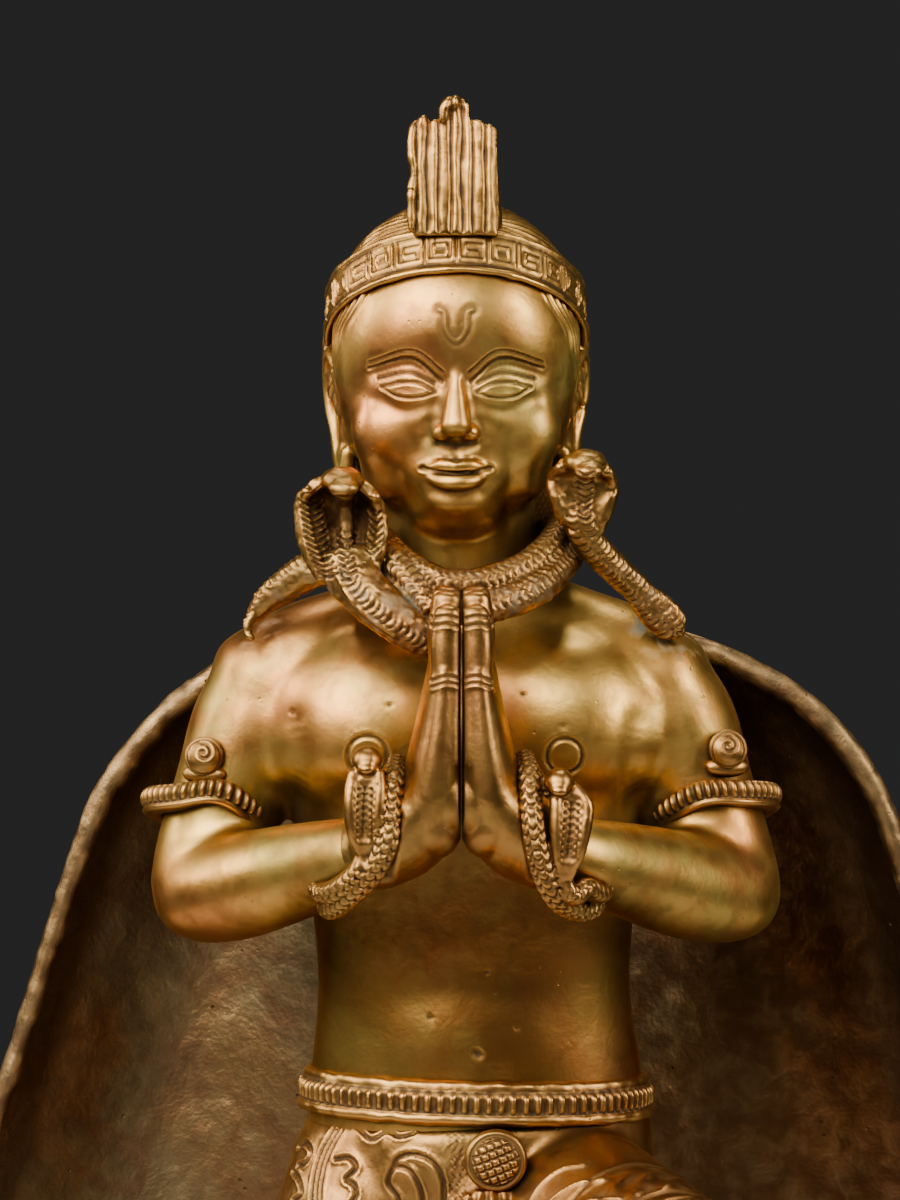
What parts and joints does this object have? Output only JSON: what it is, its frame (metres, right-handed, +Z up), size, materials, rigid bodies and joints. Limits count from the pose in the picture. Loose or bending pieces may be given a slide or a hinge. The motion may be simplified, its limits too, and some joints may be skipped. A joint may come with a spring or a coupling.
{
  "type": "bronze statue",
  "caption": "Cast bronze kneeling figure with spread wings, joined hands, a fluted crest and cobras at neck and wrists, on a low lotus plinth.",
  "frame": {"origin": "centre of the underside, on the surface that the statue stands on", "axes": "+Z up, -Y where the figure looks, +X to the figure's left, which is the viewer's right"},
  "size_m": [0.2115, 0.168, 0.3213],
  "materials": {
    "bronze": "polished golden bronze with copper-red and olive patches, darker and duller on the wings"
  },
  "bodies": {
    "root": {"kneeling_winged_figure": "bronze"}
  },
  "joints": []
}
